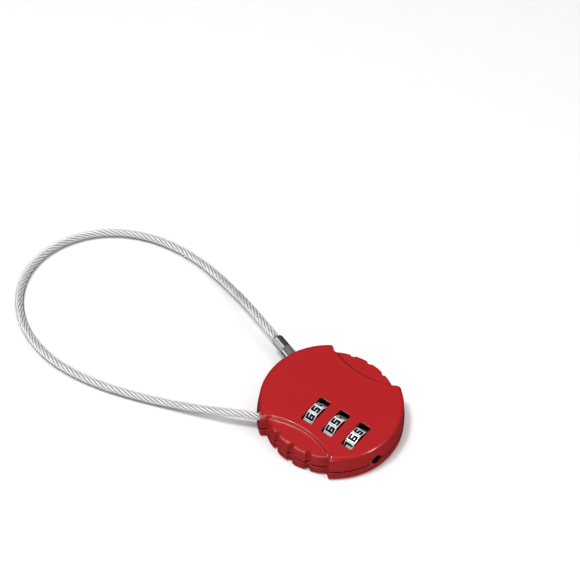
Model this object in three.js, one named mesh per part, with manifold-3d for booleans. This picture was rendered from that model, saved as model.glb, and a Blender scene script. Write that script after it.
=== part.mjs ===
// Cable luggage lock with three number wheels, lying on its back.
// Millimetres. +Z leaves the face, +X runs along the wheel shaft to the reset hole, the origin is
// under the middle of the case. The cable leaves the -X side of the case and comes back to it.
import * as THREE from "three";
import { mergeVertices } from "three/addons/utils/BufferGeometryUtils.js";
import Module from "manifold-3d";

const wasm = await Module();
wasm.setup();

// ---- driving dimensions ----
const caseRadius = 28;
const caseHeight = 12;
const faceRound = 1.8; // radius of the edge around the face
const backBevel = 0.9;
const backDrop = 2.55; // top of the back shell's rim below the wheel shaft
const partingGap = 0.3;
const rimWall = 1.9;
const faceWall = 1.5;
const floorWall = 1.2;
const lipHeight = 1.2; // spigot of the back shell inside the front shell
const lipWall = 1;
const fit = 0.3; // gap between pieces that touch or run on each other

// finger grips on the two long sides
const grip = { cornerX: 16.2, endX: 14.5, endY: 21.7, midY: 24.8, bump: 0.8, count: 4 };
const land = { stepMidY: 16.7, stepEndX: 16.2, stepEndY: 20.3, drop: 1.6, run: 0.7 };
const cavity = { highY: 15.4, lowY: 19, lowTop: 9.2 };

// number wheels, code cams and their shaft
const wheel = { radius: 6, width: 4.1, depth: 5.05, pitch: 9.3, middleX: 7.5, shaftY: -7.6 };
const wheelFaces = 10;
const wheelGroove = { width: 0.7, depth: 0.35 };
const wheelBore = { web: 0.5, webRadius: 2.6, recessEnd: 0.2, wall: 1.4, toothHeight: 0.7 };
const toothEase = 0.04; // share of a step that a sleeve's tooth is narrower on each side
const windowGap = { side: 0.35, end: 0.3 }; // around each wheel
const cam = { hubRadius: 2.3, radius: 3.2, width: 3 };
const clutch = { start: 0.4, end: 1.7 };
const gate = { width: 1.9, depth: 1 };
const shaft = { radius: 1.2, leftEnd: -14.5, buttonRadius: 1.75, flangeRadius: 2.6, flange: 0.6 };
const resetHoleRadius = 2.05;
const buttonRecess = 1;
const bearing = { left: -13.5, right: -11.5, lowY: -11, highY: -4.2 };
const clip = { width: 0.6, outer: 2.3, inner: 1, grooveRadius: 0.7, slot: 1.1, ease: 0.25 };
const washer = { width: 0.5, radius: 2.3 };
const resetSpring = { coil: 1.7, wire: 0.25, turns: 6 };

// sliding bar that holds the plug, and its guides
const bar = { below: 1.15, above: 1.05, hookWidth: 1.2, wideX: 1, rightX: 23 };
const barEdge = -1.2;
const barSpineTop = 1.4;
const barPlateTop = 7;
const barTravel = 1; // from the rest place to full depth in the plug's groove
const tooth = { inset: 0.15, width: 1, height: 1.3 };
const slot = { width: 3, lowY: -0.2, highY: 6.2 };
const guidePost = { radius: 1, y: 2.1, xs: [5, 17] };
const barSpring = { coil: 0.8, wire: 0.2, turns: 4 };
const cover = { thick: 0.6, leftX: -1, rightX: 22.3, lowY: -1, highY: 8.6, tab: 2 };
const coverScrews = [[1.5, 10.4], [19.4, 10.4]];
const coverScrew = { shank: 0.8, head: 1.6, headHeight: 0.9, boss: 2, length: 4.9 };

// plug on the free end of the cable
const plugAngle = 158.45; // where its axis crosses the rim, in degrees from +X
const plugDrop = 0.05; // its axis below the wheel shaft
const plugInward = new THREE.Vector3(0.947, -0.321, 0).normalize();
const pin = { radius: 2.1, collar: 0.15, length: 16.2, nose: 1.1, waist: 1.35 };
const pinGroove = { start: 11.75, end: 13.85 };
const collarLength = 4.9;
const ferruleLength = 6;
const ferruleRadius = 2.35;
const plugBlock = { end: 9, halfWidth: 4 };
const plugStop = { start: 16.5, end: 18, low: -1, high: 4 };

// captive end of the cable
const cableRadius = 2;
const anchorAngle = 225.43;
const anchorDrop = 0.75;
const anchorInward = new THREE.Vector3(0.89, 0.456, 0).normalize();
const anchor = { start: 6, end: 12.5, radius: 2.6, collar: 3.2, collarStart: 8.4, collarEnd: 9.8 };
const anchorBlock = { start: 1, end: 13.6, halfWidth: 4.2 };

// leaf spring that clicks on the wheels
const leaf = { thick: 0.4, below: 2.05, above: 1.85, left: -5.2, right: 20.4 };
const leafBump = { radius: 0.95, width: 1.6, clear: 0.35 }; // clear of the wheel's corners
const leafPost = { width: 2, behind: 1.6, ahead: 1.4 };

// rivets that hold the two shells
const rivets = [[-20.5, -4.5], [-7, 14], [11, 14.2], [7.5, -17.4]];
const rivet = { shank: 1.1, head: 1.8, low: 0.1, headTop: 0.7, top: 8.6, boss: 2.4 };

// places that the cable's middle line passes, from the captive end to the plug
const cableRoute = [
  [-30.2, -25.4, 5.7], [-38.6, -28.9, 4.2], [-47.6, -32.4, 2.8], [-57, -36.1, 2.15],
  [-66.6, -39.7, 2.05], [-77.4, -43, 2.05], [-89.4, -45.2, 2.05], [-101.2, -45.4, 2.05],
  [-112.4, -43, 2.05], [-122.8, -37.9, 2.05], [-131.4, -30, 2.05], [-137.2, -19.6, 2.05],
  [-139, -8.1, 2.05], [-136.8, 3, 2.05], [-130.8, 13.4, 2.05], [-122.2, 21.2, 2.05],
  [-111.8, 26.3, 2.05], [-100.3, 28.9, 2.05], [-88.6, 29.1, 2.15], [-77, 27.3, 2.7],
  [-66.2, 24.2, 4], [-56.4, 20.8, 5.7], [-47, 17.4, 6.7],
];

// ---- derived places ----
const windowLength = 2 * (wheel.radius + windowGap.end);
const windowWidth = wheel.width + 2 * windowGap.side;
const starOuter = wheel.radius - wheelBore.wall;
const starInner = starOuter - wheelBore.toothHeight;
const collarRadius = pin.radius + pin.collar;
const shaftZ = caseHeight - wheel.depth;
const backHeight = shaftZ - backDrop;
const wheelXs = [-1, 0, 1].map((n) => wheel.middleX + n * wheel.pitch);
const halfWheel = wheel.width / 2;
const faceInside = caseHeight - faceWall;
const landZ = caseHeight - land.drop;
const frontLow = backHeight + partingGap;
const innerRadius = caseRadius - rimWall;
const camEnd = wheel.pitch - halfWheel - fit; // from the middle of the cam's own wheel
const camStart = camEnd - cam.width;
const toothStart = camStart + tooth.inset;
const lastCamEnd = wheelXs[2] + camEnd;
const clipRight = wheelXs[0] - halfWheel - fit;
const clipLeft = clipRight - clip.width;
const washerRight = clipLeft - fit;
const washerLeft = washerRight - washer.width;
const flangeX = lastCamEnd + fit;
const resetWallX = flangeX + shaft.flange + fit;
const blindTop = faceInside + 0.3; // inner bosses run this far into the face wall
const barLow = shaftZ - bar.below;
const barHigh = shaftZ + bar.above;
const coverHigh = barLow - fit;
const coverLow = coverHigh - cover.thick;
const leafFront = wheel.shaftY - wheel.radius - leafBump.clear - leafBump.radius;
const leafLow = shaftZ - leaf.below;
const leafHigh = shaftZ + leaf.above;
const onRim = (degrees, z) => {
  const angle = THREE.MathUtils.degToRad(degrees);
  return new THREE.Vector3(caseRadius * Math.cos(angle), caseRadius * Math.sin(angle), z);
};
const plugEntry = onRim(plugAngle, shaftZ - plugDrop);
const anchorEntry = onRim(anchorAngle, shaftZ - anchorDrop);

// ---- shape helpers ----
const toSolid = (geometry) => {
  const bare = geometry.index ? geometry.toNonIndexed() : geometry.clone();
  bare.deleteAttribute("normal");
  bare.deleteAttribute("uv");
  const merged = mergeVertices(bare, 1e-4);
  return new wasm.Manifold(new wasm.Mesh({
    numProp: 3,
    vertProperties: merged.attributes.position.array,
    triVerts: new Uint32Array(merged.index.array),
  }));
};

const toGeometry = (solid) => {
  const mesh = solid.getMesh();
  const geometry = new THREE.BufferGeometry();
  geometry.setAttribute("position", new THREE.BufferAttribute(mesh.vertProperties, 3));
  geometry.setIndex(new THREE.BufferAttribute(mesh.triVerts, 1));
  geometry.computeVertexNormals();
  return geometry;
};

const join = (first, ...rest) => rest.reduce((sum, piece) => sum.add(piece), first);
const cut = (first, ...rest) => rest.reduce((left, piece) => left.subtract(piece), first);

// A block between two corners.
const block = (x0, x1, y0, y1, z0, z1) => {
  const box = new THREE.BoxGeometry(x1 - x0, y1 - y0, z1 - z0);
  return toSolid(box.translate((x0 + x1) / 2, (y0 + y1) / 2, (z0 + z1) / 2));
};

// A round bar from one point to another.
const rod = (from, to, radius, sides = 24, endRadius = radius) => {
  const along = to.clone().sub(from);
  const geometry = new THREE.CylinderGeometry(endRadius, radius, along.length(), sides);
  const up = new THREE.Vector3(0, 1, 0);
  geometry.applyQuaternion(new THREE.Quaternion().setFromUnitVectors(up, along.normalize()));
  const middle = from.clone().add(to).multiplyScalar(0.5);
  return toSolid(geometry.translate(middle.x, middle.y, middle.z));
};

const post = (x, y, z0, z1, radius, sides = 24) =>
  rod(new THREE.Vector3(x, y, z0), new THREE.Vector3(x, y, z1), radius, sides);

const onShaft = (x) => new THREE.Vector3(x, wheel.shaftY, shaftZ);
const shaftRod = (x0, x1, radius, sides = 24) => rod(onShaft(x0), onShaft(x1), radius, sides);

// A flat outline raised from z0 to z1.
const prism = (outline, z0, z1) => {
  const shape = new THREE.Shape(outline.map(([x, y]) => new THREE.Vector2(x, y)));
  const geometry = new THREE.ExtrudeGeometry(shape, { depth: z1 - z0, bevelEnabled: false });
  return toSolid(geometry.translate(0, 0, z0));
};

// An outline across the shaft, given around it as [angle, radius] from +Y to +Z, from x0 to x1.
const shaftPrism = (outline, x0, x1) => {
  const points = outline.map(([angle, radius]) =>
    new THREE.Vector2(-radius * Math.sin(angle), radius * Math.cos(angle)));
  const options = { depth: x1 - x0, bevelEnabled: false };
  const geometry = new THREE.ExtrudeGeometry(new THREE.Shape(points), options);
  return toSolid(geometry.rotateY(Math.PI / 2).translate(x0, wheel.shaftY, shaftZ));
};

// A turned body from its outline [radius, z], which starts and ends on the axis.
const turned = (profile, sides) => {
  const points = profile.map(([radius, z]) => new THREE.Vector2(radius, z));
  return toSolid(new THREE.LatheGeometry(points, sides).rotateX(Math.PI / 2));
};

// A block laid along a slanted axis: from start to end along it, from low to high across it.
const slantBlock = (origin, inward, start, end, low, high, z0, z1) => {
  const box = new THREE.BoxGeometry(end - start, high - low, z1 - z0);
  box.translate((start + end) / 2, (low + high) / 2, (z0 + z1) / 2);
  box.rotateZ(Math.atan2(inward.y, inward.x));
  return toSolid(box.translate(origin.x, origin.y, 0));
};

const alongAxis = (origin, inward, s) => origin.clone().addScaledVector(inward, s);
const axisRod = (origin, inward, s0, s1, radius, sides = 24, endRadius = radius) =>
  rod(alongAxis(origin, inward, s0), alongAxis(origin, inward, s1), radius, sides, endRadius);

// A coil spring around a straight axis, its wire's middle line from start to end.
const coilSpring = (start, end, { coil, wire, turns }) => {
  const along = end.clone().sub(start);
  const length = along.length();
  const turn = new THREE.Quaternion().setFromUnitVectors(
    new THREE.Vector3(0, 0, 1), along.normalize());
  const steps = turns * 12;
  const points = Array.from({ length: steps + 1 }, (_, n) => {
    const angle = (n / steps) * turns * 2 * Math.PI;
    const point = new THREE.Vector3(coil * Math.cos(angle), coil * Math.sin(angle), 0);
    point.z = (n / steps) * length;
    return point.applyQuaternion(turn).add(start);
  });
  return tube(points, wire, 6, steps);
};

// A tube with flat ends along a smooth line through the points.
const tube = (points, radius, sides, steps) => {
  const section = new THREE.Shape(Array.from({ length: sides }, (_, n) => {
    const angle = ((n + 0.5) / sides) * 2 * Math.PI;
    return new THREE.Vector2(radius * Math.cos(angle), radius * Math.sin(angle));
  }));
  const extrudePath = new THREE.CatmullRomCurve3(points, false, "centripetal");
  return toSolid(new THREE.ExtrudeGeometry(section, { steps, extrudePath, bevelEnabled: false }));
};

// ---- case ----
// The scalloped edge of one grip as points from +X to -X, on the +Y side.
const gripEdge = () => {
  const { endX, endY, midY, bump, count } = grip;
  const sag = midY - endY;
  const radius = (endX * endX + sag * sag) / (2 * sag);
  const centreY = midY - radius;
  const half = Math.asin(endX / radius);
  const segments = 5;
  return Array.from({ length: count * segments + 1 }, (_, n) => {
    const angle = half - (n / (count * segments)) * 2 * half;
    const swell = bump * Math.sin(((n % segments) / segments) * Math.PI);
    return [(radius + swell) * Math.sin(angle), centreY + (radius + swell) * Math.cos(angle)];
  });
};

const mirrorY = (outline) => outline.map(([x, y]) => [x, -y]);

// What the grips take away from the round case, both sides.
const gripCutters = (z0, z1) => {
  const cornerY = Math.sqrt(caseRadius ** 2 - grip.cornerX ** 2) + 0.01;
  const outside = caseRadius + 6;
  const outline = [
    [grip.cornerX, cornerY], ...gripEdge(), [-grip.cornerX, cornerY],
    [-grip.cornerX, outside], [grip.cornerX, outside],
  ];
  return [outline, mirrorY(outline)].map((side) => prism(side, z0, z1));
};

// The lowered lens beside each grip, bounded by a sloping arc.
const landCutters = () => {
  const sag = land.stepEndY - land.stepMidY;
  const radius = (land.stepEndX ** 2 + sag ** 2) / (2 * sag);
  const over = 1;
  const grow = (over * land.run) / land.drop;
  return [1, -1].map((side) => {
    const y = side * (land.stepMidY + radius);
    const low = new THREE.Vector3(0, y, landZ);
    const high = new THREE.Vector3(0, y, caseHeight + over);
    const lens = rod(low, high, radius - land.run, 96, radius + grow);
    const reach = [side * land.stepMidY - side, side * (caseRadius + 6)].sort((a, b) => a - b);
    return lens.intersect(block(-land.stepEndX, land.stepEndX, ...reach, landZ, high.z));
  });
};

const discBetween = (radius, halfY, z0, z1) =>
  post(0, 0, z0, z1, radius, 96).intersect(
    block(-caseRadius, caseRadius, -halfY, halfY, z0 - 1, z1 + 1));

const wheelSpan = (x) => [x - windowWidth / 2, x + windowWidth / 2];
const windowSpan = [wheel.shaftY - windowLength / 2, wheel.shaftY + windowLength / 2];

const cableBore = () => axisRod(anchorEntry, anchorInward, -6, anchor.start, cableRadius + fit);
const anchorBore = () => join(
  axisRod(anchorEntry, anchorInward, anchor.start - fit, anchor.end + fit, anchor.radius + fit),
  axisRod(anchorEntry, anchorInward, anchor.collarStart - fit, anchor.collarEnd + fit,
    anchor.collar + fit));
const plugBore = () => join(
  axisRod(plugEntry, plugInward, -6, 1, collarRadius + fit),
  axisRod(plugEntry, plugInward, 0, plugBlock.end + 1, pin.radius + fit));
const resetBore = () => join(
  shaftRod(resetWallX - 1, caseRadius + 2, resetHoleRadius),
  shaftRod(lastCamEnd - 2, resetWallX, cam.radius + fit, 40));

const frontOuter = () => {
  const profile = [[0, frontLow], [caseRadius, frontLow]];
  const steps = 5;
  for (let n = 0; n <= steps; n += 1) {
    const angle = (n / steps) * (Math.PI / 2);
    const inset = faceRound * (1 - Math.cos(angle));
    const rise = faceRound * Math.sin(angle);
    profile.push([caseRadius - inset, caseHeight - faceRound + rise]);
  }
  profile.push([0, caseHeight]);
  return cut(turned(profile, 96), ...gripCutters(frontLow - 1, caseHeight + 1), ...landCutters());
};

const frontShell = () => {
  const hollow = cut(
    frontOuter(),
    discBetween(innerRadius, cavity.highY, frontLow - 1, faceInside),
    discBetween(innerRadius, cavity.lowY, frontLow - 1, cavity.lowTop));
  const resetBoss = block(resetWallX, innerRadius, wheel.shaftY - 3.2, wheel.shaftY + 3.2,
    frontLow, blindTop).intersect(post(0, 0, frontLow, blindTop, innerRadius + 0.5, 96));
  const leafPosts = [leaf.left - leafPost.width / 2, leaf.right - leafPost.width / 2].map((x) =>
    block(x, x + leafPost.width, leafFront - leaf.thick - leafPost.behind,
      leafFront + leafPost.ahead, frontLow, cavity.lowTop + 0.3));
  const leafSlot = block(leaf.left - fit, leaf.right + fit, leafFront - leaf.thick - fit,
    leafFront + fit, frontLow - 1, leafHigh + fit);
  const filled = join(
    hollow,
    resetBoss,
    ...leafPosts,
    block(bearing.left, bearing.right, bearing.lowY, bearing.highY, frontLow, blindTop),
    slantBlock(plugEntry, plugInward, 0.8, plugBlock.end, -plugBlock.halfWidth,
      plugBlock.halfWidth, frontLow, blindTop),
    slantBlock(plugEntry, plugInward, plugStop.start, plugStop.end, plugStop.low,
      plugStop.high, frontLow, blindTop),
    slantBlock(anchorEntry, anchorInward, anchorBlock.start, anchorBlock.end,
      -anchorBlock.halfWidth, anchorBlock.halfWidth, frontLow, cavity.lowTop + 0.3)
      .intersect(frontOuter()),
    ...guidePost.xs.map((x) => post(x, guidePost.y, barLow, blindTop, guidePost.radius)),
    ...coverScrews.map(([x, y]) => post(x, y, barLow, blindTop, coverScrew.boss)),
    ...rivets.map(([x, y]) => post(x, y, frontLow, cavity.lowTop + 0.3, rivet.boss)
      .intersect(frontOuter())),
    ...rivets.slice(0, 3).map(([x, y]) => post(x, y, frontLow, blindTop, rivet.boss)));
  const shaftSlot = join(
    shaftRod(bearing.left - 1, bearing.right + 1, shaft.radius + fit),
    block(bearing.left - 1, bearing.right + 1, wheel.shaftY - shaft.radius - fit,
      wheel.shaftY + shaft.radius + fit, frontLow - 1, shaftZ));
  return cut(
    filled, leafSlot, shaftSlot, resetBore(), plugBore(), cableBore(), anchorBore(),
    ...wheelXs.map((x) => block(...wheelSpan(x), ...windowSpan, shaftZ, caseHeight + 1)),
    ...coverScrews.map(([x, y]) => post(x, y, 3, coverHigh + coverScrew.length - 0.6,
      coverScrew.shank + fit)),
    ...rivets.map(([x, y]) => post(x, y, frontLow - 1, rivet.top + fit, rivet.shank + fit)));
};

const backShell = () => {
  const profile = [
    [0, 0], [caseRadius - backBevel, 0], [caseRadius, backBevel],
    [caseRadius, backHeight], [0, backHeight],
  ];
  const lipTop = backHeight + lipHeight;
  const lip = cut(
    discBetween(innerRadius - fit, cavity.lowY - fit, backHeight - 0.5, lipTop),
    discBetween(innerRadius - fit - lipWall, cavity.lowY - fit - lipWall, 0, lipTop + 1),
    slantBlock(plugEntry, plugInward, -4, plugBlock.end + fit, -plugBlock.halfWidth - fit,
      plugBlock.halfWidth + fit, backHeight, lipTop + 1),
    slantBlock(anchorEntry, anchorInward, -6, anchorBlock.end + fit,
      -anchorBlock.halfWidth - fit, anchorBlock.halfWidth + fit, backHeight, lipTop + 1),
    block(lastCamEnd - camEnd, caseRadius, -caseRadius, wheel.shaftY + cam.radius + fit,
      backHeight, lipTop + 1),
    ...rivets.map(([x, y]) => post(x, y, backHeight, lipTop + 1, rivet.boss + fit)));
  const bowl = cut(
    turned(profile, 96), ...gripCutters(-1, backHeight + 1),
    discBetween(innerRadius, cavity.lowY, floorWall, backHeight + 1));
  const filled = join(
    bowl, lip,
    slantBlock(anchorEntry, anchorInward, 2, anchorBlock.end, -anchorBlock.halfWidth,
      anchorBlock.halfWidth, floorWall - 0.3, backHeight).intersect(turned(profile, 96)),
    block(bearing.left + fit, bearing.right - fit, wheel.shaftY - 1, wheel.shaftY + 1,
      floorWall - 0.3, shaftZ - shaft.radius - fit),
    ...rivets.map(([x, y]) => post(x, y, floorWall - 0.3, backHeight, rivet.boss)));
  const pocketFloor = shaftZ - wheel.radius - fit;
  return cut(
    filled, plugBore(), cableBore(), anchorBore(), resetBore(),
    ...gripCutters(-1, backHeight + 3),
    ...wheelXs.map((x) => block(...wheelSpan(x), wheel.shaftY - 3.3, wheel.shaftY + 3.3,
      pocketFloor, backHeight)),
    ...rivets.flatMap(([x, y]) => [
      post(x, y, -1, backHeight + 1, rivet.shank + fit),
      post(x, y, -1, rivet.headTop + fit, rivet.head + fit),
    ]));
};

const caseRivet = ([x, y]) => join(
  post(x, y, rivet.low, rivet.headTop, rivet.head),
  post(x, y, rivet.headTop - 0.1, rivet.top, rivet.shank, 16));

// ---- wheels, cams and shaft ----
const toothCount = 10;

// A ring of teeth as [angle, radius] points, each narrower by ease on both sides.
const toothRing = (root, tip, ease = 0) => Array.from({ length: toothCount }, (_, n) => {
  const step = (2 * Math.PI) / toothCount;
  const low = 0.3 - ease;
  const high = 0.2 - ease;
  return [[-low, root], [-high, tip], [high, tip], [low, root]].map(([share, radius]) =>
    [(n + share) * step, radius]);
}).flat();

const dialWheel = (x) => {
  const step = (2 * Math.PI) / wheelFaces;
  const cornerRadius = wheel.radius;
  const flat = cornerRadius * Math.cos(step / 2);
  const half = flat * Math.tan(step / 2) - wheelGroove.width / 2;
  const edge = Math.hypot(flat, half);
  const lean = Math.atan2(half, flat);
  const outline = Array.from({ length: wheelFaces }, (_, n) => {
    const middle = Math.PI / 2 + n * step;
    return [
      [middle - lean, edge], [middle + lean, edge],
      [middle + step / 2, cornerRadius - wheelGroove.depth],
    ];
  }).flat();
  const left = x - halfWheel;
  const right = x + halfWheel;
  return cut(
    shaftPrism(outline, left, right),
    shaftRod(left - 1, right, wheelBore.webRadius),
    shaftRod(left + wheelBore.web, x + wheelBore.recessEnd, starOuter, 40),
    shaftPrism(toothRing(starInner, starOuter), x, right + 1));
};

const camSleeve = (x) => {
  const gateTop = gate.width / 2;
  return cut(
    join(
      shaftRod(x - halfWheel, x + camEnd, cam.hubRadius),
      shaftPrism(toothRing(starInner - fit, starOuter - fit, toothEase),
        x + clutch.start, x + clutch.end),
      shaftRod(x + camStart, x + camEnd, cam.radius, 40)),
    shaftRod(x - halfWheel - 1, x + camEnd + 1, shaft.radius + fit),
    block(x + camStart - 0.1, x + camEnd + 0.1, wheel.shaftY + cam.radius - gate.depth,
      wheel.shaftY + cam.radius + 1, shaftZ - gateTop, shaftZ + gateTop));
};

const dialShaft = () => {
  const buttonEnd = Math.sqrt(caseRadius ** 2 - wheel.shaftY ** 2) - buttonRecess;
  return cut(
    join(
      shaftRod(shaft.leftEnd, flangeX + 0.1, shaft.radius),
      shaftRod(flangeX, flangeX + shaft.flange, shaft.flangeRadius),
      shaftRod(flangeX, buttonEnd, shaft.buttonRadius)),
    cut(
      shaftRod(clipLeft - clip.ease, clipRight + clip.ease, shaft.radius + 1),
      shaftRod(clipLeft - 1, clipRight + 1, clip.grooveRadius)),
    block(buttonEnd - 0.6, buttonEnd + 1, wheel.shaftY - 2, wheel.shaftY + 2,
      shaftZ - 0.3, shaftZ + 0.3));
};

const shaftClip = () => cut(
  shaftRod(clipLeft, clipRight, clip.outer),
  shaftRod(clipLeft - 1, clipRight + 1, clip.inner),
  block(clipLeft - 1, clipRight + 1, wheel.shaftY - clip.slot, wheel.shaftY + clip.slot,
    shaftZ - clip.outer - 1, shaftZ));

const springWasher = () => cut(
  shaftRod(washerLeft, washerRight, washer.radius),
  shaftRod(washerLeft - 1, washerRight + 1, shaft.radius + fit));

const returnSpring = () => {
  const inset = fit + resetSpring.wire;
  return coilSpring(onShaft(bearing.right + inset), onShaft(washerLeft - inset), resetSpring);
};

// ---- latch ----
// The hook stands under the middle of the plug's groove, and clear of the plug at rest.
const grooveMiddle = alongAxis(plugEntry, plugInward, (pinGroove.start + pinGroove.end) / 2);
const hookMiddle = grooveMiddle.x + plugInward.y * ((pin.waist + pin.radius) / 2);
const hookLeft = hookMiddle - bar.hookWidth / 2;
const hookEndY = () => {
  const lean = plugInward.y / plugInward.x;
  const axisY = plugEntry.y + lean * (hookLeft + bar.hookWidth - plugEntry.x);
  return axisY - (pin.waist + fit) / plugInward.x - barTravel;
};

const lockBar = () => cut(
  join(
    block(hookLeft, hookLeft + bar.hookWidth, barEdge, hookEndY(), barLow, barHigh),
    block(hookLeft, bar.rightX, barEdge, barSpineTop, barLow, barHigh),
    block(bar.wideX, bar.rightX, barEdge, barPlateTop, barLow, barHigh),
    ...wheelXs.map((x) => block(x + toothStart, x + toothStart + tooth.width,
      wheel.shaftY + cam.radius + fit, barEdge + 0.5, shaftZ - tooth.height / 2,
      shaftZ + tooth.height / 2))),
  ...guidePost.xs.map((x) => block(x - slot.width / 2, x + slot.width / 2, slot.lowY,
    slot.highY, barLow - 1, barHigh + 1)));

const latchSpring = (x) => {
  const z = (barLow + barHigh) / 2;
  const start = guidePost.y + guidePost.radius + fit + barSpring.wire;
  const end = slot.highY - fit - barSpring.wire;
  return coilSpring(new THREE.Vector3(x, start, z), new THREE.Vector3(x, end, z), barSpring);
};

const barCover = () => cut(
  join(
    block(cover.leftX, cover.rightX, cover.lowY, cover.highY, coverLow, coverHigh),
    ...coverScrews.map(([x, y]) => post(x, y, coverLow, coverHigh, cover.tab)),
    ...coverScrews.map(([x, y]) => block(x - cover.tab, x + cover.tab, cover.highY - 1, y,
      coverLow, coverHigh))),
  ...coverScrews.map(([x, y]) => post(x, y, coverLow - 1, coverHigh + 1,
    coverScrew.shank + fit)));

const coverFixing = ([x, y]) => {
  const headTop = coverLow - fit;
  const driveWidth = 0.5;
  return cut(
    join(
      post(x, y, headTop - coverScrew.headHeight, headTop, coverScrew.head),
      post(x, y, headTop - 0.1, headTop + coverScrew.length, coverScrew.shank, 16)),
    block(x - coverScrew.head, x + coverScrew.head, y - driveWidth / 2, y + driveWidth / 2,
      headTop - coverScrew.headHeight - 1, headTop - coverScrew.headHeight + 0.4));
};

const detentSpring = () => {
  const strip = block(leaf.left, leaf.right, leafFront - leaf.thick, leafFront,
    leafLow, leafHigh);
  const bumps = wheelXs.map((x) => rod(
    new THREE.Vector3(x - leafBump.width / 2, leafFront, shaftZ),
    new THREE.Vector3(x + leafBump.width / 2, leafFront, shaftZ), leafBump.radius, 16));
  const behind = block(leaf.left - 1, leaf.right + 1, leafFront - 3, leafFront - leaf.thick,
    leafLow, leafHigh);
  return cut(join(strip, ...bumps), behind);
};

// ---- plug and cable ----
const lockPin = () => cut(
  join(
    axisRod(plugEntry, plugInward, fit - collarLength, fit, collarRadius, 32),
    axisRod(plugEntry, plugInward, 0, pin.length - pin.nose, pin.radius, 32),
    axisRod(plugEntry, plugInward, pin.length - pin.nose, pin.length, pin.radius, 32,
      pin.radius - pin.nose)),
  cut(
    axisRod(plugEntry, plugInward, pinGroove.start, pinGroove.end, pin.radius + 1, 32),
    axisRod(plugEntry, plugInward, pinGroove.start - 1, pinGroove.end + 1, pin.waist, 32)));

const tipFerrule = () => {
  const end = -collarLength;
  return axisRod(plugEntry, plugInward, end - ferruleLength, end, ferruleRadius, 32);
};

const ferruleEnd = alongAxis(plugEntry, plugInward, -collarLength - ferruleLength - fit);
const anchorFace = alongAxis(anchorEntry, anchorInward, anchor.start - fit);

const lockCable = () => {
  const points = [
    anchorFace,
    alongAxis(anchorEntry, anchorInward, 0),
    alongAxis(anchorEntry, anchorInward, -5),
    ...cableRoute.map(([x, y, z]) => new THREE.Vector3(x, y, z)),
    alongAxis(ferruleEnd, plugInward, -3),
    ferruleEnd,
  ];
  return tube(points, cableRadius, 8, 76);
};

const cableAnchor = () => join(
  axisRod(anchorEntry, anchorInward, anchor.start, anchor.end, anchor.radius),
  axisRod(anchorEntry, anchorInward, anchor.collarStart, anchor.collarEnd, anchor.collar));

// ---- the assembly ----
const finish = (color, roughness, metalness) =>
  new THREE.MeshStandardMaterial({ color, roughness, metalness });
const redPaint = () => finish(0xb92a2b, 0.35, 0.1);
const brightPlate = () => finish(0xd6d6d8, 0.2, 1);
const steel = () => finish(0x9c9ea2, 0.4, 1);
const brass = () => finish(0xb89a4e, 0.35, 1);

const lock = new THREE.Group();
lock.name = "cable_luggage_lock";

const addPiece = (name, solid, material) => {
  const mesh = new THREE.Mesh(toGeometry(solid), material);
  mesh.name = name;
  lock.add(mesh);
};

addPiece("front_shell", frontShell(), redPaint());
addPiece("back_shell", backShell(), redPaint());
wheelXs.forEach((x, n) => {
  addPiece(`dial_wheel_${n + 1}`, dialWheel(x), brightPlate());
  addPiece(`cam_sleeve_${n + 1}`, camSleeve(x), brass());
});
addPiece("dial_shaft", dialShaft(), steel());
addPiece("shaft_clip", shaftClip(), steel());
addPiece("spring_washer", springWasher(), steel());
addPiece("reset_spring", returnSpring(), steel());
addPiece("detent_spring", detentSpring(), steel());
addPiece("lock_bar", lockBar(), steel());
guidePost.xs.forEach((x, n) => addPiece(`bar_spring_${n + 1}`, latchSpring(x), steel()));
addPiece("bar_cover", barCover(), steel());
coverScrews.forEach((place, n) => addPiece(`cover_screw_${n + 1}`, coverFixing(place), steel()));
addPiece("lock_pin", lockPin(), brightPlate());
addPiece("tip_ferrule", tipFerrule(), brightPlate());
addPiece("lock_cable", lockCable(), steel());
addPiece("cable_anchor", cableAnchor(), brass());
rivets.forEach((place, n) => addPiece(`case_rivet_${n + 1}`, caseRivet(place), steel()));

export default lock;
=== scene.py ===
from math import atan2, ceil, cos, pi, radians, sin, sqrt

import bmesh
import bpy
from mathutils import Matrix, Vector
from mathutils.kdtree import KDTree


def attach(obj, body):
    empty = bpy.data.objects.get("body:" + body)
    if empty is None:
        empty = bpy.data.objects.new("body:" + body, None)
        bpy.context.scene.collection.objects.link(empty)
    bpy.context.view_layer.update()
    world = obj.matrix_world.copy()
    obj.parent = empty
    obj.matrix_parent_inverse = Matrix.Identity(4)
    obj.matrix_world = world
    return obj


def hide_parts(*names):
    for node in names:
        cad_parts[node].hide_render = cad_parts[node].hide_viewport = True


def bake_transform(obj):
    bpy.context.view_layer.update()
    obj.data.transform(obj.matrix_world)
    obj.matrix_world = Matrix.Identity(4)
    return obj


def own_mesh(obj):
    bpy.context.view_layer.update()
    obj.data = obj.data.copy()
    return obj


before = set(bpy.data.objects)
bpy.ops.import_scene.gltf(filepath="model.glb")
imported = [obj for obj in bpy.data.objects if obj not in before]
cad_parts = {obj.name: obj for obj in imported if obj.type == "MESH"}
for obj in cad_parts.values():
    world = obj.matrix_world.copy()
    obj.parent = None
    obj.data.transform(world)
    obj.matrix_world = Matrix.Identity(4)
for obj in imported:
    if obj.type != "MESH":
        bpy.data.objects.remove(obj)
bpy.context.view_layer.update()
scene = bpy.context.scene
mm = 0.001

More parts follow.
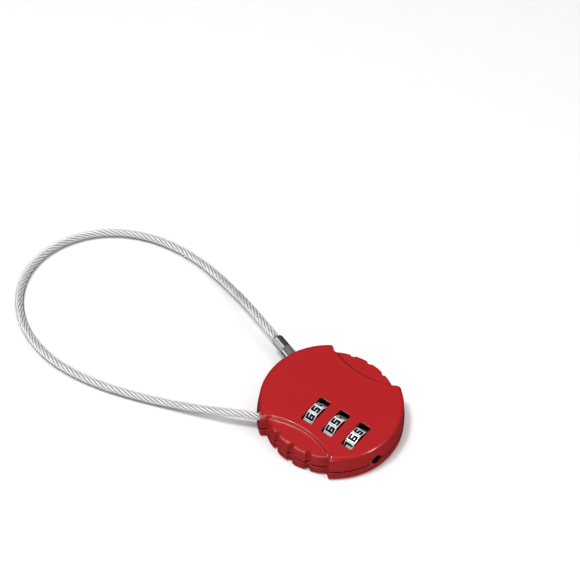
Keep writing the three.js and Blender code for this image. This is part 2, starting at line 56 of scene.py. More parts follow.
print("camera")
view = {"place": (253.681, -388.693, 624.354), "aim": (-50.974, 41.532, 0), "roll": 2.7, "lens": 126.54}
eye = Vector(view["place"]) * mm
camera = bpy.data.objects.new("camera", bpy.data.cameras.new("camera"))
camera.data.lens = view["lens"]
camera.data.sensor_width = 36
camera.data.clip_start, camera.data.clip_end = 0.01, 20
camera.matrix_world = (
    Matrix.Translation(eye)
    @ (Vector(view["aim"]) * mm - eye).to_track_quat("-Z", "Y").to_matrix().to_4x4()
    @ Matrix.Rotation(radians(view["roll"]), 4, "Z")
)
scene.collection.objects.link(camera)
scene.camera = camera


# ---- meshes ----
def pairs(ring):
    return zip(ring, ring[1:] + ring[:1])


def nextRing(bm, ring, places):
    edges = [bm.edges.get(pair) for pair in pairs(ring)]
    made = set(bmesh.ops.extrude_edge_only(bm, edges=edges)["geom"])
    grown = [next(e.other_vert(v) for e in v.link_edges if e.other_vert(v) in made) for v in ring]
    for vert, place in zip(grown, places):
        vert.co = place
    return grown


def loft(levels):
    # a closed skin through rings of places, in millimetres, with a flat cap at each end
    bm = bmesh.new()
    first = bmesh.ops.create_circle(bm, segments=len(levels[0]), radius=1)["verts"]
    for vert, place in zip(first, levels[0]):
        vert.co = place
    last = first
    for places in levels[1:]:
        last = nextRing(bm, last, places)
    for ring in (first, last):
        bmesh.ops.contextual_create(bm, geom=[bm.edges.get(pair) for pair in pairs(ring)])
    bmesh.ops.scale(bm, vec=(mm, mm, mm), verts=bm.verts)
    return bm


def along(axis, start):
    # from a piece drawn in millimetres about +Z to its place
    turn = Vector(axis).to_track_quat("Z", "Y").to_matrix().to_4x4()
    return Matrix.Translation(Vector(start) * mm) @ turn @ Matrix.Scale(mm, 4)


def turned(profile, axis, start, sides=72, bevel=0):
    # profile holds (distance along the axis, radius), from pole to pole
    bm = bmesh.new()
    verts = [bm.verts.new((radius, 0, s)) for s, radius in profile]
    edges = [bm.edges.new(pair) for pair in zip(verts, verts[1:])]
    bmesh.ops.spin(
        bm, geom=verts + edges, axis=(0, 0, 1), cent=(0, 0, 0), angle=2 * pi, steps=sides, use_merge=True
    )
    bmesh.ops.remove_doubles(bm, verts=bm.verts, dist=1e-5)
    bmesh.ops.recalc_face_normals(bm, faces=bm.faces)
    if bevel:
        roundEdges(bm, bevel, 28)
    bmesh.ops.transform(bm, matrix=along(axis, start), verts=bm.verts)
    return bm


def roundEdges(bm, width, least, segments=3):
    edges = [e for e in bm.edges if e.is_manifold and e.calc_face_angle(0) > radians(least)]
    bmesh.ops.bevel(
        bm, geom=edges, offset=width, affect="EDGES", segments=segments, profile=0.5, material=-1,
        clamp_overlap=True,
    )


def asObject(bm, name, *finish, crease=38):
    bmesh.ops.recalc_face_normals(bm, faces=bm.faces)
    mesh = bpy.data.meshes.new(name)
    bm.to_mesh(mesh)
    bm.free()
    for material in finish:
        mesh.materials.append(material)
    obj = bpy.data.objects.new(name, mesh)
    scene.collection.objects.link(obj)
    smooth(obj, crease)
    return obj


def smooth(obj, crease=38):
    obj.data.shade_smooth()
    obj.data.set_sharp_from_angle(angle=radians(crease))


def cut(obj, cutters):
    for cutter in cutters:
        step = obj.modifiers.new("cut", "BOOLEAN")
        step.operation, step.object, step.solver = "DIFFERENCE", cutter, "EXACT"
        step.material_mode = "TRANSFER"
    bpy.context.view_layer.update()
    made = bpy.data.meshes.new_from_object(obj.evaluated_get(bpy.context.evaluated_depsgraph_get()))
    obj.modifiers.clear()
    obj.data, old = made, obj.data
    bpy.data.meshes.remove(old)
    obj.data.name = obj.name
    for cutter in cutters:
        bpy.data.objects.remove(cutter)
    smooth(obj)


def evenNormals(obj):
    step = obj.modifiers.new("even normals", "WEIGHTED_NORMAL")
    step.keep_sharp = True


# ---- materials ----
class Flow:
    # one output in a node tree, so that shader maths reads as arithmetic
    def __init__(self, tree, socket=None):
        self.tree, self.socket = tree, socket

    def node(self, kind, settings=None, inputs=None, out=0):
        made = self.tree.nodes.new(kind)
        for key, value in (settings or {}).items():
            setattr(made, key, value)
        for key, value in (inputs or {}).items():
            feed(made.inputs[key], value, self.tree)
        return Flow(self.tree, made.outputs[out] if made.outputs else None)

    def maths(self, operation, *inputs):
        return self.node("ShaderNodeMath", {"operation": operation}, dict(enumerate(inputs)))

    def __add__(self, other):
        return self.maths("ADD", self, other)

    def __sub__(self, other):
        return self.maths("SUBTRACT", self, other)

    def __rsub__(self, other):
        return self.maths("SUBTRACT", other, self)

    def __mul__(self, other):
        return self.maths("MULTIPLY", self, other)

    __radd__, __rmul__ = __add__, __mul__

    def blend(self, low, high):
        return self.node("ShaderNodeMix", {"data_type": "RGBA"}, {0: self, 6: low, 7: high}, out=2)

    def noise(self, coords, scale, detail=2.0):
        return self.node("ShaderNodeTexNoise", {}, {"Vector": coords, "Scale": scale, "Detail": detail})

    def stretched(self, coords, scale):
        return self.node("ShaderNodeVectorMath", {"operation": "MULTIPLY"}, {0: coords, 1: scale})

    def bump(self, height, strength, distance):
        return self.node(
            "ShaderNodeBump", {}, {"Height": height, "Strength": strength, "Distance": distance}, out="Normal"
        )


def feed(socket, value, tree):
    if isinstance(value, Flow):
        tree.links.new(value.socket, socket)
    elif socket.type == "RGBA":
        socket.default_value = (*value, 1)
    else:
        socket.default_value = value


def newMaterial(name, build, **fixed):
    # build gets the tree and object coordinates, and gives what varies on the shader by socket name
    material = bpy.data.materials.new(name)
    material.use_nodes = True
    tree = material.node_tree
    tree.nodes.clear()
    flow = Flow(tree)
    coords = flow.node("ShaderNodeTexCoord", out="Object")
    inputs = {key.replace("_", " "): value for key, value in fixed.items()}
    inputs.update(build(flow, coords))
    shader = flow.node("ShaderNodeBsdfPrincipled", {}, inputs)
    flow.node("ShaderNodeOutputMaterial", {}, {"Surface": shader})
    return material


def grained(low, high, rough, spread=0.08, scale=1800, grain=(1, 1, 1), height=0.15, **fixed):
    # a colour between two close ones, roughness round one value, and a fine surface grain
    def build(flow, coords):
        fine = flow.noise(flow.stretched(coords, grain), scale, 3.0)
        broad = flow.noise(coords, 90.0)
        return {
            "Base Color": (fine * 0.6 + broad * 0.4).blend(low, high),
            "Roughness": rough + (fine - 0.5) * spread + (broad - 0.5) * spread,
            "Normal": flow.bump(fine, height, 2e-5),
        }

    return lambda name: newMaterial(name, build, **fixed)


print("materials")
finishes = {
    "case_paint": grained(
        (0.40, 0.007, 0.009), (0.47, 0.011, 0.013), 0.32, 0.08, 2600, height=0.05,
        Metallic=0.1, Coat_Weight=0.8, Coat_Roughness=0.05,
    ),
    "wheel_plate": grained((0.76, 0.77, 0.78), (0.90, 0.90, 0.91), 0.30, 0.08, 1500, Metallic=0.3),
    "cam_brass": grained((0.62, 0.43, 0.17), (0.78, 0.57, 0.26), 0.33, 0.1, 1500, grain=(1, 8, 8), Metallic=1.0),
    "inner_steel": grained((0.20, 0.20, 0.21), (0.33, 0.33, 0.34), 0.42, 0.1, 1500, grain=(1, 8, 8), Metallic=1.0),
    "spring_steel": grained((0.36, 0.36, 0.37), (0.50, 0.50, 0.51), 0.30, 0.1, 2500, Metallic=1.0),
    "plug_chrome": grained((0.70, 0.71, 0.72), (0.84, 0.85, 0.86), 0.16, 0.05, 1200, height=0.05, Metallic=0.85),
}
finishes = {name: make(name) for name, make in finishes.items()}
wheelGroove = grained((0.10, 0.10, 0.11), (0.17, 0.17, 0.18), 0.5, Metallic=0.5)("wheelGroove")
# black for the printed digits, also painted on the walls of the holes and windows as their shade
inkBlack = grained((0.004, 0.004, 0.005), (0.010, 0.010, 0.011), 0.6, Specular_IOR_Level=0.12)("inkBlack")
# the plug's finish follows its sides, so its sizes come first
plug = {
    "entry": Vector((-26.042, 10.285, 6.9)), "inward": Vector((0.94705, -0.32103, 0)).normalized(),
    "hole": 2.42, "holeDepth": 5, "ferrule": 2.35, "ferruleLength": 6, "ferruleBack": 10.9,
    "collar": 2.33, "pin": 2.1, "waist": 1.35,
}


def crimpLook(flow, coords):
    # a speckled matt patch on the low side, polished on the other
    side = plug["inward"].cross(Vector((-0.37, 0.53, -0.76))).normalized()
    out = flow.node("ShaderNodeVectorMath", {"operation": "DOT_PRODUCT"}, {0: coords, 1: side}, out="Value")
    speckle = flow.noise(coords, 2300.0, 3.0)
    patch = flow.node("ShaderNodeMapRange", {}, {
        0: out - side.dot(plug["entry"]) * mm, 1: 0.0004, 2: 0.0006, 3: 1.0, 4: 0.0,
    })
    return {
        "Base Color": (speckle * patch).blend((0.78, 0.78, 0.79), (0.36, 0.36, 0.35)),
        "Roughness": patch * 0.3 + 0.12,
        "Metallic": 0.95 - patch * 0.45,
        "Normal": flow.bump(speckle * patch, 0.6, 3e-5),
    }


crimpGrey = newMaterial("crimpGrey", crimpLook)
blackSteel = grained((0.010, 0.010, 0.011), (0.020, 0.020, 0.022), 0.4, Metallic=0.6)("blackSteel")
# a darker red painted on the far land as the shade below the step
paintDeep = grained((0.13, 0.004, 0.005), (0.17, 0.006, 0.007), 0.4, Coat_Weight=0.5)("paintDeep")
# a near black painted on the back shell's ledge as the shade in the gap between the shells
paintSeam = grained((0.020, 0.002, 0.002), (0.030, 0.003, 0.003), 0.5, Coat_Weight=0.3)("paintSeam")


def coatLook(flow, coords):
    # clear in the middle and greyer where the wall is seen edge on
    fine = flow.noise(coords, 400.0)
    edge = flow.node("ShaderNodeLayerWeight", {}, {"Blend": 0.5}, out="Facing")
    return {"Roughness": 0.04 + fine * 0.05, "Alpha": edge * edge * edge * edge * edge * 0.55 + 0.04}


coatClear = newMaterial("coatClear", coatLook, Base_Color=(0.62, 0.64, 0.65), Coat_Weight=0.3, Coat_Roughness=0.03)


def strandLook(flow, coords):
    # painted shade in the grooves, darker where the surface is nearest the middle of the cable
    out = flow.node("ShaderNodeAttribute", {"attribute_name": "out"}, out="Fac")
    fine = flow.noise(coords, 3500.0)
    crown = out.node("ShaderNodeMapRange", {}, {0: out, 1: 0.66, 2: 0.90, 3: 0.0, 4: 1.0})
    return {
        "Base Color": (crown * 0.85 + fine * 0.2).blend((0.09, 0.09, 0.10), (0.95, 0.96, 0.97)),
        "Roughness": 0.32 + fine * 0.12,
        "Normal": flow.bump(fine, 0.3, 3e-5),
    }


strandSteel = newMaterial("strandSteel", strandLook, Metallic=0.3)

# ---- case ----
print("case")
case = {
    "radius": 28, "draft": 0.6, "top": 12, "round": 1.55, "wall": 1.9,
    "frontLow": 4.7, "backHigh": 4.25, "lip": 5.6, "gap": 0.3, "floor": 1.2, "ceiling": 10.5,
    "gripEnds": 34.5, "rimStarts": 38,
}
grip = {
    "cornerAt": 35.4, "endAt": 33.3, "radius": 25.75, "crown": 0.25, "pitch": 16.75,
    "flute": 0.95, "fluteHalf": 2.65, "shoulder": 8.9, "bend": 62, "draft": 0.55, "inner": 22.9,
}
# the step is a wide parabola, with its foot a run further out
land = {"z": 10.35, "edge": 24.45, "wave": 0.5, "stepMid": 16.8, "spread": 59, "run": 0.7, "shade": 0.95}


def ease(value, low, high):
    t = min(1, max(0, (value - low) / (high - low)))
    return t * t * (3 - 2 * t)


def flute(u):
    # 0 on a bump and 1 at the bottom of the flute between two
    off = abs((abs(u) + grip["pitch"] / 2) % grip["pitch"] - grip["pitch"] / 2)
    if abs(u) > 1.4 * grip["pitch"] or off >= grip["fluteHalf"]:
        return 0
    return (1 - (off / grip["fluteHalf"]) ** 2) ** 0.55


def wallRadius(u):
    # u is the angle from the middle of a grip
    local = (abs(u) % grip["pitch"]) / grip["pitch"] * 2 - 1
    held = grip["radius"] - grip["crown"] * local * local - grip["flute"] * flute(u)
    return held + (case["radius"] - held) * ease(abs(u), grip["endAt"], grip["cornerAt"])


def stepRadius(u, out=0):
    # where the step's arc crosses the ray
    c, s = sin(radians(u)), cos(radians(u))
    a, drop = c * c / land["spread"], land["stepMid"] + out
    if s * s <= 4 * a * drop:
        return 1e3
    return (s - sqrt(s * s - 4 * a * drop)) / (2 * a) if a > 1e-9 else drop / s


def frontProfile(u):
    wall, draft, top = wallRadius(u), case["draft"], case["top"]
    rimTop = case["radius"] - draft - case["round"]
    step, foot = min(stepRadius(u), rimTop), min(stepRadius(u, land["run"]), rimTop + 0.8)
    shoulder = wall - grip["draft"]
    edge = min(land["edge"] - land["wave"] * flute(u) + max(0, wall - grip["radius"]), shoulder)
    foot = min(foot, edge - 0.3)
    step = min(step, foot - 0.6)
    held = [(wall - 0.35, case["frontLow"]), (wall, case["frontLow"] + 0.28), (shoulder, grip["shoulder"])]
    bend = radians(grip["bend"])
    for n in range(1, 6):
        a = n / 5 * bend
        held.append((
            shoulder + (edge - shoulder) * (1 - cos(a)) / (1 - cos(bend)),
            grip["shoulder"] + (land["z"] - grip["shoulder"]) * sin(a) / sin(bend),
        ))
    held.append((edge - 0.1, land["z"]))
    # an edge where the painted shade strip on the land ends
    held.append((min(foot + land["shade"], edge - 0.15), land["z"]))
    footRound = ((0.28, 0), (0.09, 0.03), (-0.05, 0.13), (-0.13, 0.36))
    held += [(foot + out, land["z"] + up) for out, up in footRound]
    topRound = ((0.31, 0.52), (0.23, 0.26), (0.11, 0.08), (-0.05, 0.01), (-0.2, 0), (-0.5, 0))
    held += [(step + out, top - down) for out, down in topRound]
    rim = [(case["radius"] - 0.35, case["frontLow"]), (case["radius"], case["frontLow"] + 0.28)]
    rim += [(case["radius"] - draft, top - case["round"])]
    count = len(held) - 4
    for n in range(1, count + 1):
        a = n / count * pi / 2
        rim.append((rimTop + case["round"] * cos(a), top - case["round"] * (1 - sin(a))))
    rim.append((rimTop - 0.3, top))
    share = ease(abs(u), 34.0, 36.9)
    return [(a[0] + (b[0] - a[0]) * share, a[1] + (b[1] - a[1]) * share) for a, b in zip(held, rim)]


def innerRadius(u):
    rim = case["radius"] - case["wall"]
    return grip["inner"] + (rim - grip["inner"]) * ease(abs(u), case["gripEnds"], case["rimStarts"])


def frontInside(u):
    wide, share = innerRadius(u), ease(abs(u), 30, 40)
    high = min(stepRadius(u) - 1.5, 23.8)
    low = grip["shoulder"] - 0.2 + 0.6 * share
    return [(high, case["ceiling"]), (high + 0.1, low), (wide - 0.1, low - 0.1), (wide, case["frontLow"])]


def backProfile(u):
    wall, inside = wallRadius(u) + 0.04, innerRadius(u) - case["gap"]
    return [
        (wall - 0.9, 0), (wall - 0.5, 0.12), (wall - 0.14, 0.45), (wall, 0.9),
        (wall, case["backHigh"] - 0.4), (wall - 0.12, case["backHigh"] - 0.17),
        (wall - 0.42, case["backHigh"]), (inside, case["backHigh"]),
        (inside, case["lip"] - 0.2), (inside - 0.2, case["lip"]), (inside - 1, case["lip"]),
        (inside - 1, case["floor"] + 0.4), (inside - 1.4, case["floor"]),
    ]


def caseRays():
    # closer together where the grips and corners are
    half, u = [], 0.0
    while u < 90 - 1e-6:
        half.append(u)
        near = min(abs(u - k * grip["pitch"]) for k in (0, 1))
        u += 0.2 if near < 3 or 32.8 < u < 37.2 else 0.55 if u < 40 else 1.25
    side = [-v for v in half[:0:-1]] + half
    return [(v, 90 + v) for v in side] + [(90.0, 180.0)] + [(v, 270 + v) for v in side] + [(90.0, 0.0)]


def ringsOf(profile):
    rays = caseRays()
    columns = [
        [(r * cos(radians(angle)), r * sin(radians(angle)), z) for r, z in profile(u)] for u, angle in rays
    ]
    return [list(level) for level in zip(*columns)]


def roundedBox(middle, size, corner, levels, finish):
    # levels holds (z, how much wider each side is)
    rings = []
    for z, grow in levels:
        ring = []
        for n in range(4):
            sx, sy = ((1, 1), (-1, 1), (-1, -1), (1, -1))[n]
            cx, cy = middle[0] + sx * (size[0] / 2 - corner), middle[1] + sy * (size[1] / 2 - corner)
            for k in range(7):
                a = (n + k / 6) * pi / 2
                ring.append((cx + (corner + grow) * cos(a), cy + (corner + grow) * sin(a), z))
        rings.append(ring)
    return asObject(loft(rings), "cutter", finish)


def bore(radius, axis, start, length, finish):
    return asObject(turned([(0, 0), (0, radius), (length, radius), (length, 0)], axis, start), "cutter", finish)


dial = {
    "faces": 10, "radius": 6, "width": 4.1, "pitch": 9.3, "middleX": 7.5, "y": -7.6, "z": 6.95, "bore": 4.62,
    "groove": 0.14, "border": 0.1, "rise": 0.14, "well": 6.35, "wellWidth": 4.8,
}
anchor = {"entry": Vector((-19.65, -19.95, 6.2)), "inward": Vector((0.89, 0.456, 0)).normalized(), "hole": 2.25}
wheelXs = [dial["middleX"] + n * dial["pitch"] for n in (-1, 0, 1)]
resetHole = {"low": 1.4, "tall": 1.9, "wide": 2.1, "from": 21}
windows = {
    "width": 4.8, "length": 12.6, "corner": 0.45, "shift": 0.08, "through": [(9.5, 0), (12.3, 0)],
    "flare": [(11.8, 0), (11.88, 0.03), (11.96, 0.11), (12.06, 0.25)],
}
rivet = {"places": [(-20.5, -4.5), (-7, 14), (11, 14.2), (7.5, -17.4)], "head": 2.0, "sunk": 0.75, "shank": 1.15}


def resetBore():
    # an oval that reaches over the parting line, its walls painted black as shade
    cutter = bore(1, (1, 0, 0), (resetHole["from"], 0, 0), 9, inkBlack)
    cutter.data.transform(
        Matrix.Translation((0, dial["y"] * mm, (dial["z"] - resetHole["low"]) * mm))
        @ Matrix.Diagonal((1, resetHole["wide"], resetHole["tall"], 1))
    )
    return cutter


# the bores for the plug and the cable also paint their walls black as shade
def plugBore():
    return bore(plug["hole"], -plug["inward"], plug["entry"] + plug["inward"] * plug["holeDepth"], 12, inkBlack)


def cableBore():
    return bore(anchor["hole"], -anchor["inward"], anchor["entry"] + anchor["inward"] * 5, 14, inkBlack)


def paintFaces(obj, finish, chosen):
    # the faces whose middle is chosen, in millimetres, take another finish
    obj.data.materials.append(finish)
    for face in obj.data.polygons:
        if chosen(*(face.center / mm)):
            face.material_index = len(obj.data.materials) - 1


def fromGrip(x, y):
    # how far round a place is from the middle of the nearer grip
    return abs(abs(atan2(y, x)) * 180 / pi - 90)


def shadedLand(x, y, z):
    # the strip of the far land at the foot of the step, painted darker as the step's shade
    past = sqrt(x * x + y * y) - stepRadius(fromGrip(x, y), land["run"])
    return y > 0 and abs(z - land["z"]) < 0.01 and 0.28 < past < land["shade"] + 0.05


# the back shell's faces inside the parting gap, which take painted shade
def inSeamShade(x, y, z):
    return z > case["backHigh"] - 0.15 and sqrt(x * x + y * y) < wallRadius(fromGrip(x, y)) - 0.15


red = finishes["case_paint"]
frontCase = asObject(loft(ringsOf(frontInside) + ringsOf(frontProfile)), "frontCase", red)
openings = []
for x in wheelXs:
    place, size = (x + windows["shift"], dial["y"]), (windows["width"], windows["length"])
    # the window walls are painted black as shade
    openings.append(roundedBox(place, size, windows["corner"], windows["through"], inkBlack))
    openings.append(roundedBox(place, size, windows["corner"], windows["flare"], red))
cut(frontCase, openings + [resetBore(), plugBore(), cableBore()])
# painted shade on the far land at the foot of the step
paintFaces(frontCase, paintDeep, shadedLand)
evenNormals(frontCase)
backCase = asObject(loft(ringsOf(backProfile)), "backCase", red)
recesses = [bore(rivet["head"], (0, 0, 1), (x, y, -1), 1 + rivet["sunk"], red) for x, y in rivet["places"]]
recesses += [bore(rivet["shank"], (0, 0, 1), (x, y, 0.5), 2, red) for x, y in rivet["places"]]
recesses += [
    bore(dial["well"], (1, 0, 0), (x - dial["wellWidth"] / 2, dial["y"], dial["z"]), dial["wellWidth"], red)
    for x in wheelXs
]
cut(backCase, recesses + [cableBore(), resetBore()])
# painted shade in the gap between the shells
paintFaces(backCase, paintSeam, inSeamShade)
evenNormals(backCase)
for obj, node in ((frontCase, "front_shell"), (backCase, "back_shell")):
    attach(obj, "casing")
    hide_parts(node)

# ---- number wheels ----
print("wheels")
aroundX = Matrix(((0, 0, 1, 0), (0, -1, 0, 0), (1, 0, 0, 0), (0, 0, 0, 1)))
facet = dial["radius"] * cos(pi / dial["faces"])


def wheelMesh():
    bm = bmesh.new()
    low = (facet - dial["rise"]) / cos(pi / dial["faces"])
    bmesh.ops.create_cone(
        bm, cap_ends=True, cap_tris=False, segments=dial["faces"], radius1=low, radius2=low, depth=dial["width"]
    )
    bm.normal_update()
    sides = [f for f in bm.faces if abs(f.normal.z) < 0.5]
    turn = atan2(sides[0].normal.y, sides[0].normal.x)
    bmesh.ops.rotate(bm, matrix=Matrix.Rotation(-turn, 3, "Z"), verts=bm.verts)
    lines = bmesh.ops.inset_individual(bm, faces=sides, thickness=dial["groove"], depth=0)["faces"]
    for face in lines:
        face.material_index = 1
    for face in bmesh.ops.inset_individual(bm, faces=sides, thickness=dial["border"], depth=dial["rise"])["faces"]:
        face.material_index = 0
    for face in bm.faces:
        if abs(face.normal.z) > 0.9:
            face.material_index = 2
    rims = {e for f in sides for e in f.edges}
    bmesh.ops.bevel(
        bm, geom=list(rims), offset=0.1, affect="EDGES", segments=3, profile=0.5, material=0, clamp_overlap=True
    )
    return bm


digits = {"height": 3.4, "width": 2.5, "stroke": 0.88, "round": 0.32, "proud": 0.02, "deep": 0.06}
reach = [(digits[key] - digits["stroke"]) / 2 for key in ("width", "height")]
# each stroke joins two corners of a two by three grid
strokes = {
    "top": ((-1, 1), (1, 1)), "middle": ((-1, 0), (1, 0)), "bottom": ((-1, -1), (1, -1)),
    "highLeft": ((-1, 1), (-1, 0)), "highRight": ((1, 1), (1, 0)),
    "lowLeft": ((-1, 0), (-1, -1)), "lowRight": ((1, 0), (1, -1)), "stem": ((0, 1), (0, -1)),
}
without = {
    0: "middle stem", 1: "top middle bottom highLeft highRight lowLeft lowRight", 2: "highLeft lowRight stem",
    3: "highLeft lowLeft stem", 4: "top bottom lowLeft stem", 5: "highRight lowLeft stem", 6: "highRight stem",
    7: "middle bottom highLeft lowLeft stem", 8: "stem", 9: "lowLeft stem",
}


def numeral(value):
    bm = bmesh.new()
    for name, ends in strokes.items():
        if name in without[value].split():
            continue
        (x0, y0), (x1, y1) = [(x * reach[0], y * reach[1]) for x, y in ends]
        box = bmesh.ops.create_cube(bm, size=1)["verts"]
        wide, high = abs(x1 - x0) + digits["stroke"], abs(y1 - y0) + digits["stroke"]
        bmesh.ops.scale(bm, vec=(wide, high, digits["deep"] + digits["proud"]), verts=box)
        bmesh.ops.translate(bm, vec=((x0 + x1) / 2, (y0 + y1) / 2, 0), verts=box)
    upright = [e for e in bm.edges if abs(e.verts[0].co.z - e.verts[1].co.z) > digits["proud"]]
    bmesh.ops.bevel(bm, geom=upright, offset=digits["round"], affect="EDGES", segments=4, profile=0.5, material=-1)
    mesh = bpy.data.meshes.new("numeral")
    bm.to_mesh(mesh)
    bm.free()
    return mesh


lying = Matrix(((0, -1, 0, 0), (1, 0, 0, 0), (0, 0, 1, 0), (0, 0, 0, 1)))  # the top of a digit points along -X
for number, (x, halfStep) in enumerate(zip(wheelXs, (0, 0, 1)), 1):
    axle = Matrix.Translation(Vector((x, dial["y"], dial["z"])) * mm) @ Matrix.Scale(mm, 4)
    bm = wheelMesh()
    quarter = Matrix.Rotation(halfStep * pi / dial["faces"], 4, "X")
    bmesh.ops.transform(bm, matrix=axle @ quarter @ aroundX, verts=bm.verts)
    ring = asObject(bm, f"dialWheel{number}", finishes["wheel_plate"], wheelGroove, inkBlack)
    hollow = bore(dial["bore"], (1, 0, 0), (x - dial["width"], dial["y"], dial["z"]), 2 * dial["width"], inkBlack)
    cut(ring, [hollow])
    evenNormals(ring)
    bm = bmesh.new()
    for value in range(10):
        before = len(bm.verts)
        bm.from_mesh(numeral(value))
        bm.verts.ensure_lookup_table()
        lift = Matrix.Translation((0, 0, facet + (digits["proud"] - digits["deep"]) / 2))
        around = Matrix.Rotation(2 * pi / dial["faces"] * (value - 5) - halfStep * pi / dial["faces"], 4, "X")
        bmesh.ops.transform(bm, matrix=axle @ around @ lift @ lying, verts=bm.verts[before:])
    ink = asObject(bm, f"dialDigits{number}", inkBlack)
    for obj in (ring, ink):
        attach(obj, f"dial_{number}")
    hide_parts(f"dial_wheel_{number}")

# ---- plug ----
print("plug")
chrome = finishes["plug_chrome"]
ferruleProfile = [
    (0, 0), (0, plug["ferrule"] - 0.25), (0.3, plug["ferrule"]), (plug["ferruleLength"], plug["ferrule"]),
    (plug["ferruleLength"], 0),
]
ferruleStart = plug["entry"] - plug["inward"] * plug["ferruleBack"]
plugFerrule = asObject(
    turned(ferruleProfile, plug["inward"], ferruleStart, bevel=0.07), "plugFerrule", crimpGrey, chrome
)
pinProfile = [
    (-4.7, 0), (-4.7, plug["collar"]), (0.2, plug["collar"]), (0.35, plug["pin"]), (11.75, plug["pin"]),
    (12.0, plug["waist"]), (13.6, plug["waist"]), (13.85, plug["pin"]), (15.0, plug["pin"]), (16.1, 1.1), (16.2, 0),
]
plugPin = asObject(turned(pinProfile, plug["inward"], plug["entry"], bevel=0.06), "plugPin", chrome)
for obj, node in ((plugFerrule, "tip_ferrule"), (plugPin, "lock_pin")):
    evenNormals(obj)
    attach(obj, "plug")
    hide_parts(node)

# ---- cable ----
print("cable")
cable = {
    "radius": 2, "core": 1.5, "pitch": 15, "strands": 6, "fill": 0.98, "step": 0.6, "sides": 28, "strandSides": 12,
}
route = [
    (-30.2, -25.4, 5.7), (-38.6, -28.9, 4.2), (-47.6, -32.4, 2.8), (-57, -36.1, 2.15), (-66.6, -39.7, 2.05),
    (-77.4, -43, 2.05), (-89.4, -45.2, 2.05), (-101.2, -45.4, 2.05), (-112.4, -43, 2.05), (-122.8, -37.9, 2.05),
    (-131.4, -30, 2.05), (-137.2, -19.6, 2.05), (-139, -8.1, 2.05), (-136.8, 3, 2.05), (-130.8, 13.4, 2.05),
    (-122.2, 21.2, 2.05), (-111.8, 26.3, 2.05), (-100.3, 28.9, 2.05), (-88.6, 29.1, 2.15), (-77, 27.3, 2.7),
    (-66.2, 24.2, 4), (-56.4, 20.8, 5.7), (-47, 17.4, 6.7),
]


def throughPoints(points, step):
    # a centripetal curve through every point, sampled about each step millimetres
    ends = [points[0] * 2 - points[1]] + points + [points[-1] * 2 - points[-2]]
    line = []
    for a, b, c, d in zip(ends, ends[1:], ends[2:], ends[3:]):
        u, v, w = (sqrt((q - p).length) for p, q in ((a, b), (b, c), (c, d)))
        out = ((b - a) / u - (c - a) / (u + v) + (c - b) / v) * v
        back = ((c - b) / v - (d - b) / (v + w) + (d - c) / w) * v
        count = ceil((c - b).length / step)
        for n in range(count):
            t = n / count
            line.append(
                b * (2 * t**3 - 3 * t**2 + 1) + out * (t**3 - 2 * t**2 + t)
                + c * (3 * t**2 - 2 * t**3) + back * (t**3 - t**2)
            )
    return line + [points[-1]]


def tubeRings(line, radius, sides, orbit=0, phase=0, pitch=1):
    # rings round a line, or round a strand that winds about it at the orbit radius
    side, gone, rings, was = Vector((0, 0, 1)), 0, [], line[0]
    for n, point in enumerate(line):
        ahead = (line[min(n + 1, len(line) - 1)] - line[max(n - 1, 0)]).normalized()
        side = (side - ahead * side.dot(ahead)).normalized()
        other = ahead.cross(side)
        gone += (point - was).length
        was = point
        a = phase + 2 * pi * gone / pitch
        middle = point + (side * cos(a) + other * sin(a)) * orbit
        rings.append([
            middle + (side * cos(2 * pi * k / sides + a) + other * sin(2 * pi * k / sides + a)) * radius
            for k in range(sides)
        ])
    return rings


stops = [anchor["entry"] + anchor["inward"] * 5.7, anchor["entry"], anchor["entry"] - anchor["inward"] * 5]
stops += [Vector(p) for p in route]
stops += [plug["entry"] - plug["inward"] * s for s in (14.2, 11.2)]
centreLine = throughPoints(stops, cable["step"])
cableLength = sum((q - p).length for p, q in zip(centreLine, centreLine[1:])) * mm
print("cable length", round(cableLength, 4))
cableCoat = asObject(loft(tubeRings(centreLine, cable["radius"], cable["sides"])), "cableCoat", coatClear)
bm = bmesh.new()
strand = cable["core"] / 3
for n in range(cable["strands"] + 1):  # the last one is the straight one in the middle
    orbit, phase = 0 if n == cable["strands"] else 2 * strand, 2 * pi * n / cable["strands"]
    part = loft(tubeRings(
        centreLine[1:-1], strand * cable["fill"], cable["strandSides"], orbit, phase, cable["pitch"]
    ))
    mesh = bpy.data.meshes.new("strand")
    part.to_mesh(mesh)
    part.free()
    bm.from_mesh(mesh)
    bpy.data.meshes.remove(mesh)
cableCore = asObject(bm, "cableCore", strandSteel, crease=60)
middles = KDTree(len(centreLine))
for n, point in enumerate(centreLine):
    middles.insert(point * mm, n)
middles.balance()
outness = cableCore.data.attributes.new("out", "FLOAT", "POINT")
for vert in cableCore.data.vertices:
    outness.data[vert.index].value = middles.find(vert.co)[2] / (cable["core"] * mm)
for obj in (cableCoat, cableCore):
    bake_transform(obj)
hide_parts("lock_cable")
centreLine[0] * mm
[p * mm for p in centreLine]

# ---- return spring of the shaft ----
coil = {"from": -11.04, "to": -6.0, "radius": 1.7, "wire": 0.125, "turns": 6, "travel": 1.6, "steps": 240}
stretch = (coil["to"] - coil["from"]) / coil["steps"]
coilLine = [Vector((coil["from"] + stretch * n, dial["y"], dial["z"])) for n in range(coil["steps"] + 1)]
coilRings = tubeRings(coilLine, coil["wire"], 10, coil["radius"], pitch=(coil["to"] - coil["from"]) / coil["turns"])
returnSpring = asObject(loft(coilRings), "returnSpring", finishes["spring_steel"])
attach(returnSpring, "casing")
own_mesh(returnSpring)
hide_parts("reset_spring")

# ---- finish of the pieces that stay as they are ----
rebuilt = {
    "front_shell", "back_shell", "tip_ferrule", "lock_pin", "lock_cable", "reset_spring",
    "dial_wheel_1", "dial_wheel_2", "dial_wheel_3",
}
for name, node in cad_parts.items():
    if name not in rebuilt:
        own = node.data.materials[0].name.split(".")[0]
        node.data.materials.clear()
        node.data.materials.append(blackSteel if name == "dial_shaft" else finishes[own])

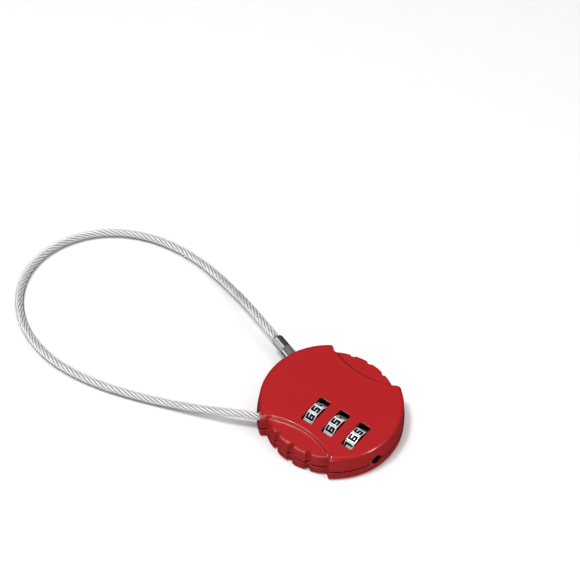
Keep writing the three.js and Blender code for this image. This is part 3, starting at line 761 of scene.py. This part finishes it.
# ---- floor and light ----
print("floor and light")
bm = bmesh.new()
bmesh.ops.create_grid(bm, x_segments=1, y_segments=1, size=3)
bmesh.ops.translate(bm, vec=(0, 0, -0.0003), verts=bm.verts)
paper = grained((0.86, 0.86, 0.86), (0.90, 0.90, 0.90), 0.7, 0.05, 300, height=0.02)("paper")
floor = asObject(bm, "floor", paper)
floor.visible_glossy = False
world = bpy.data.worlds.new("world")
scene.world = world
world.use_nodes = True
backdrop = world.node_tree.nodes["Background"].inputs
backdrop["Color"].default_value = (1, 1, 1, 1)
rays = Flow(world.node_tree)
# white behind the lock, dim as a light, and nearly black in what reflects it
seen = rays.node("ShaderNodeLightPath", out="Is Camera Ray")
reflected = rays.node("ShaderNodeLightPath", out="Is Glossy Ray")
feed(backdrop["Strength"], seen * 0.9 + 0.12 - reflected * 0.1, world.node_tree)
scene.view_settings.view_transform = "Standard"
lamps = [
    # place, aim, size, power, and whether it shows in what reflects it
    ((-0.16, -0.2, 0.85), (-0.03, 0, 0), 0.17, 4.0, True),
    ((0.85, 0.08, 0.52), (0, 0, 0), 0.2, 2.6, True),
    ((-0.3, -0.62, 0.43), (0, 0, 0), 0.1, 0.6, True),
    ((-0.03, 0, 1.0), (-0.03, 0, 0), 1.5, 8.5, False),
]
for place, aim, size, power, mirrored in lamps:
    lamp = bpy.data.lights.new("lamp", "AREA")
    lamp.size, lamp.energy = size, power
    obj = bpy.data.objects.new("lamp", lamp)
    obj.matrix_world = Matrix.Translation(place) @ (
        Vector(aim) - Vector(place)
    ).to_track_quat("-Z", "Y").to_matrix().to_4x4()
    obj.visible_glossy = mirrored
    scene.collection.objects.link(obj)


def standingCard(name, place, tall, finish):
    bm = bmesh.new()
    bmesh.ops.create_grid(bm, x_segments=1, y_segments=1, size=0.5)
    upright = Matrix.Translation(place) @ Matrix.Rotation(pi / 2, 4, "X") @ Matrix.Diagonal((1, tall, 1, 1))
    bmesh.ops.transform(bm, matrix=upright, verts=bm.verts)
    return asObject(bm, name, finish)


glowing = grained(
    (0.8, 0.8, 0.8), (0.9, 0.9, 0.9), 0.5, Emission_Color=(1, 1, 1), Emission_Strength=0.9
)("glowing")
darkCard = standingCard("darkCard", (0, 0.45, 0.06), 0.24, inkBlack)
lightCard = standingCard("lightCard", (-0.1, -0.45, 0), 0.4, glowing)
for card in (darkCard, lightCard):  # only seen in what reflects them
    card.visible_camera = card.visible_shadow = card.visible_diffuse = False
